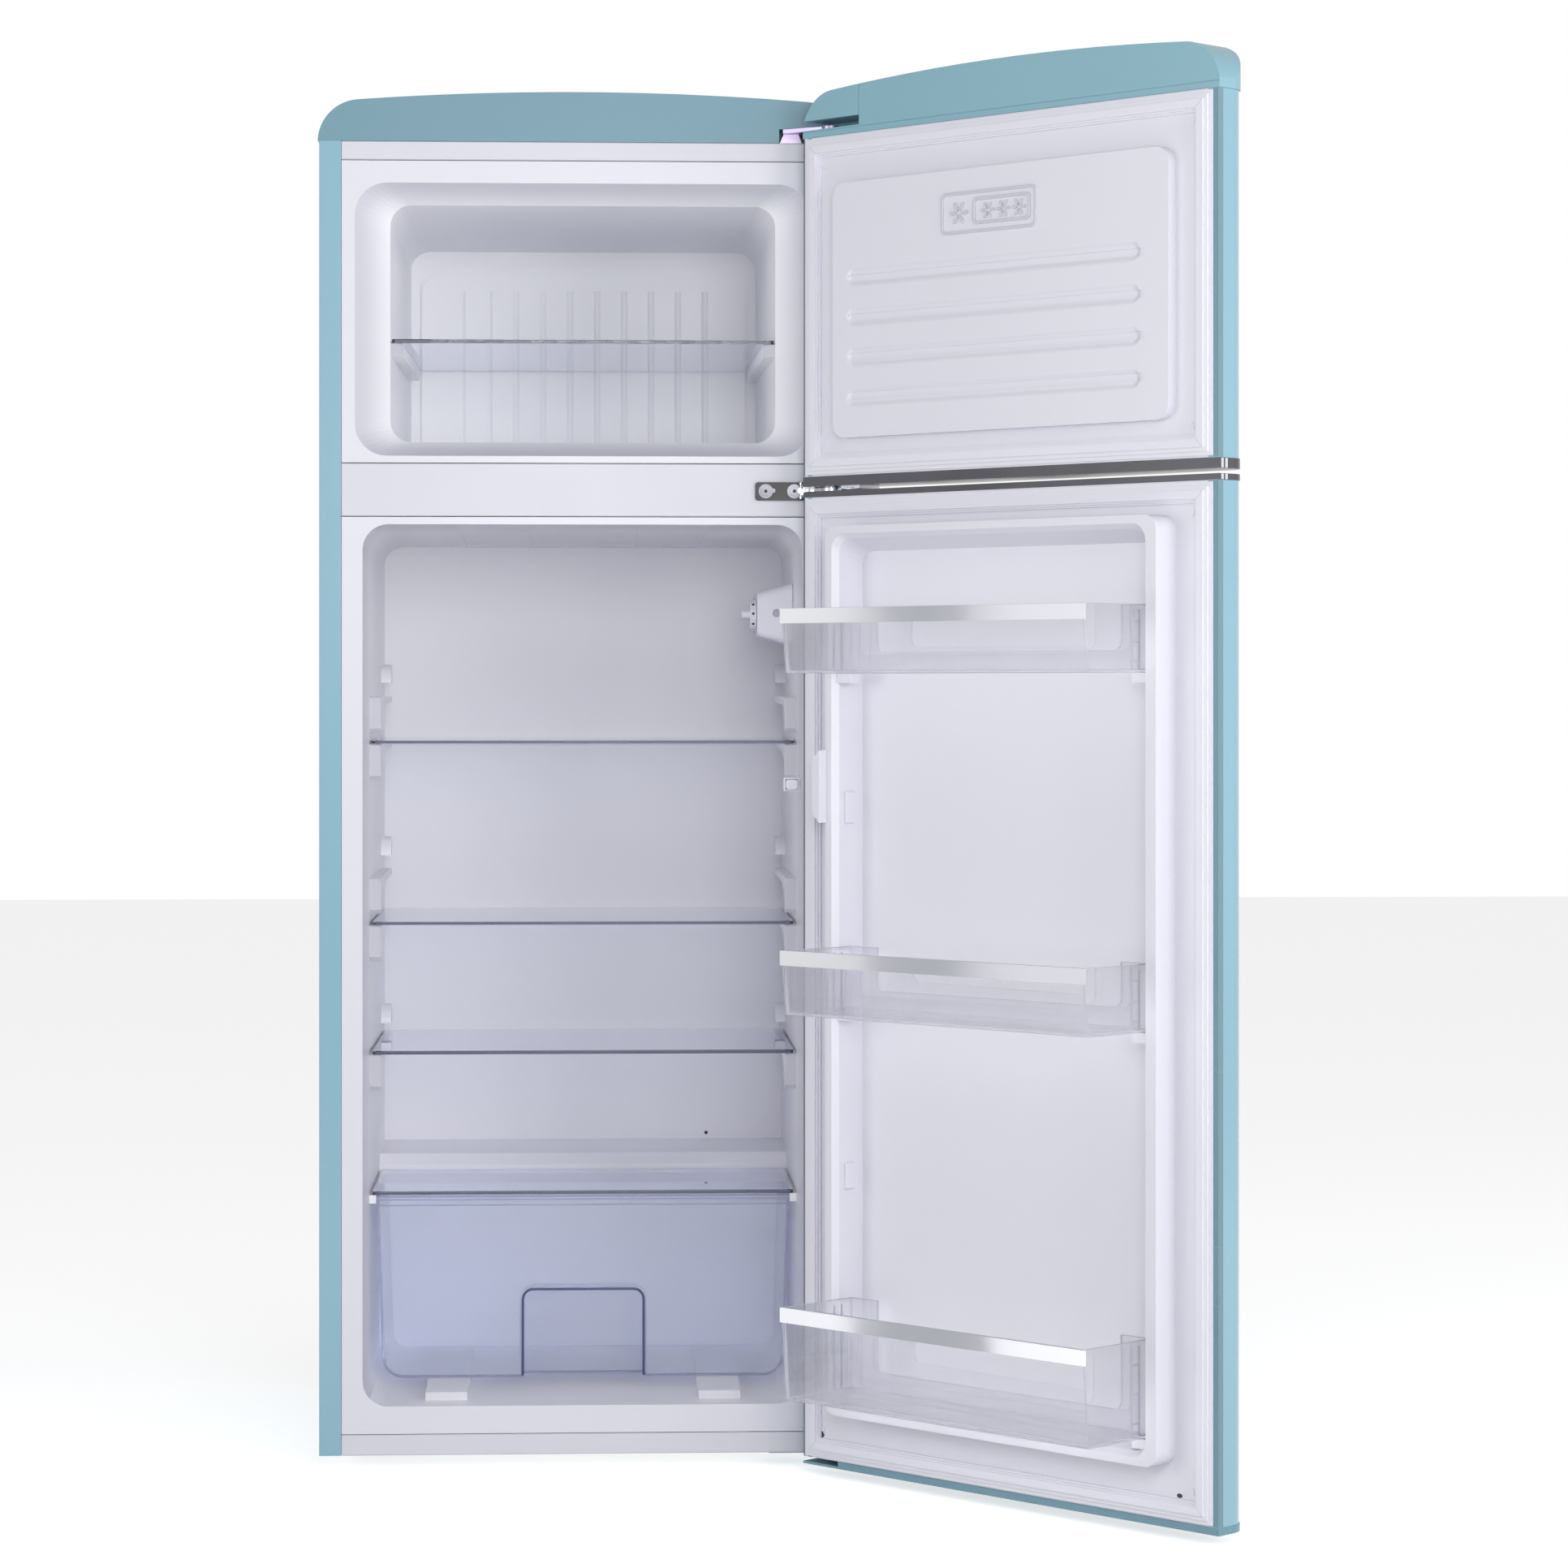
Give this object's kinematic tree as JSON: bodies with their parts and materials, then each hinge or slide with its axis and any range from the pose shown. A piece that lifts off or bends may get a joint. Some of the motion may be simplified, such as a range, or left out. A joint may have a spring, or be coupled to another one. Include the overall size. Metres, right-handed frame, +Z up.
{
  "type": "top-freezer refrigerator",
  "caption": "Retro turquoise top-freezer refrigerator with arched top, rounded doors standing open, glass shelves, clear drawer and door bins.",
  "frame": {"origin": "centre of the steel cabinet's footprint, on the floor", "axes": "+X to the right seen from the front, towards the hinge side; -Y out of the doors; +Z up"},
  "size_m": [0.9096, 1.0038, 1.444],
  "materials": {
    "shell_paint": "gloss turquoise enamel",
    "cover_plastic": "gloss turquoise",
    "rail_plastic": "satin white",
    "liner_plastic": "satin white",
    "lamp_plastic": "fine grained white",
    "clear_plastic": "clear, faint blue",
    "tinted_plastic": "clear, blue tint",
    "lens_plastic": "translucent",
    "shelf_glass": "clear, greenish edges",
    "chrome": "polished",
    "dark_chrome": "dark polished",
    "hinge_steel": "zinc plated",
    "black_steel": "satin black",
    "galvanised": "galvanised",
    "gasket_rubber": "soft white",
    "black_rubber": "matt black",
    "dark_plastic": "matt",
    "foam": "rigid foam"
  },
  "bodies": {
    "cabinet": {"cabinet_shell": "shell_paint", "back_panel": "galvanised", "cabinet_foam": "foam", "top_cover": "cover_plastic", "top_rail": "rail_plastic", "middle_rail": "rail_plastic", "bottom_rail": "rail_plastic", "freezer_liner": "liner_plastic", "fridge_liner": "liner_plastic", "base_pan": "galvanised", "compressor": "black_steel", "terminal_box": "dark_plastic", "drip_tray": "dark_plastic", "condenser": "black_steel", "lamp_housing": "lamp_plastic", "lamp_lens": "lens_plastic", "switch_body": "lamp_plastic", "top_hinge": "hinge_steel", "middle_hinge_plate": "black_steel", "middle_hinge_arm": "hinge_steel", "middle_hinge_screws": "chrome", "bottom_hinge": "hinge_steel"},
    "freezer_door": {"freezer_door_shell": "shell_paint", "freezer_door_cap": "cover_plastic", "freezer_door_trim": "dark_chrome", "freezer_door_bracket": "hinge_steel", "freezer_door_liner": "liner_plastic", "freezer_door_gasket": "gasket_rubber", "freezer_door_foam": "foam", "freezer_door_handle": "chrome", "freezer_hinge_cover": "cover_plastic"},
    "fridge_door": {"fridge_door_shell": "shell_paint", "fridge_door_trim": "dark_chrome", "fridge_door_base": "cover_plastic", "fridge_door_liner": "liner_plastic", "fridge_door_gasket": "gasket_rubber", "fridge_door_foam": "foam", "fridge_door_handle": "chrome"},
    "freezer_shelf": {"freezer_shelf": "shelf_glass"},
    "shelf_1": {"shelf_1": "shelf_glass"},
    "shelf_2": {"shelf_2": "shelf_glass"},
    "shelf_3": {"shelf_3": "shelf_glass"},
    "drawer_cover": {"drawer_cover": "shelf_glass", "drawer_cover_trim": "clear_plastic"},
    "drawer": {"crisper_drawer": "tinted_plastic"},
    "thermostat": {"thermostat_knob": "lamp_plastic"},
    "lamp_switch": {"switch_plunger": "lamp_plastic"},
    "foot_left": {"foot_left": "black_rubber"},
    "foot_right": {"foot_right": "black_rubber"},
    "roller_left": {"roller_left": "dark_plastic"},
    "roller_right": {"roller_right": "dark_plastic"},
    "bin_1": {"bin_1": "clear_plastic", "bin_1_strip": "chrome"},
    "bin_2": {"bin_2": "clear_plastic", "bin_2_strip": "chrome"},
    "bin_3": {"bin_3": "clear_plastic", "bin_3_strip": "chrome"}
  },
  "joints": [
    {"name": "freezer_door_swing", "type": "hinge", "parent": "cabinet", "child": "freezer_door", "pos_m": [0.2583, -0.2885, 1.2], "axis": [0, 0, 1], "range_deg": [-132.8, 2.2]},
    {"name": "fridge_door_swing", "type": "hinge", "parent": "cabinet", "child": "fridge_door", "pos_m": [0.2583, -0.2885, 0.52], "axis": [0, 0, 1], "range_deg": [-132.8, 2.2]},
    {"name": "freezer_shelf_slide", "type": "slide", "parent": "cabinet", "child": "freezer_shelf", "axis": [0, -1, 0], "range_m": [0, 0.15]},
    {"name": "shelf_1_slide", "type": "slide", "parent": "cabinet", "child": "shelf_1", "axis": [0, -1, 0], "range_m": [0, 0.15]},
    {"name": "shelf_2_slide", "type": "slide", "parent": "cabinet", "child": "shelf_2", "axis": [0, -1, 0], "range_m": [0, 0.15]},
    {"name": "shelf_3_slide", "type": "slide", "parent": "cabinet", "child": "shelf_3", "axis": [0, -1, 0], "range_m": [0, 0.15]},
    {"name": "drawer_cover_slide", "type": "slide", "parent": "cabinet", "child": "drawer_cover", "axis": [0, -1, 0], "range_m": [0, 0.1]},
    {"name": "drawer_slide", "type": "slide", "parent": "cabinet", "child": "drawer", "axis": [0, -1, 0], "range_m": [0, 0.17]},
    {"name": "thermostat_turn", "type": "hinge", "parent": "cabinet", "child": "thermostat", "pos_m": [0.19, -0.0215, 0.898], "axis": [-1, 0, 0], "range_deg": [0, 270]},
    {"name": "lamp_switch_press", "type": "slide", "parent": "cabinet", "child": "lamp_switch", "axis": [0, 1, 0], "range_m": [0, 0.006], "stiffness_N_per_m": 150},
    {"name": "foot_left_turn", "type": "hinge", "parent": "cabinet", "child": "foot_left", "pos_m": [-0.225, -0.1455, 0], "axis": [0, 0, 1], "continuous": true},
    {"name": "foot_right_turn", "type": "hinge", "parent": "cabinet", "child": "foot_right", "pos_m": [0.225, -0.1455, 0], "axis": [0, 0, 1], "continuous": true},
    {"name": "roller_left_spin", "type": "hinge", "parent": "cabinet", "child": "roller_left", "pos_m": [-0.238, 0.2175, 0.015], "axis": [1, 0, 0], "continuous": true},
    {"name": "roller_right_spin", "type": "hinge", "parent": "cabinet", "child": "roller_right", "pos_m": [0.238, 0.2175, 0.015], "axis": [1, 0, 0], "continuous": true},
    {"name": "bin_1_lift", "type": "slide", "parent": "fridge_door", "child": "bin_1", "axis": [0, 0, 1], "range_m": [0, 0.025]},
    {"name": "bin_2_lift", "type": "slide", "parent": "fridge_door", "child": "bin_2", "axis": [0, 0, 1], "range_m": [0, 0.025]},
    {"name": "bin_3_lift", "type": "slide", "parent": "fridge_door", "child": "bin_3", "axis": [0, 0, 1], "range_m": [0, 0.025]}
  ]
}
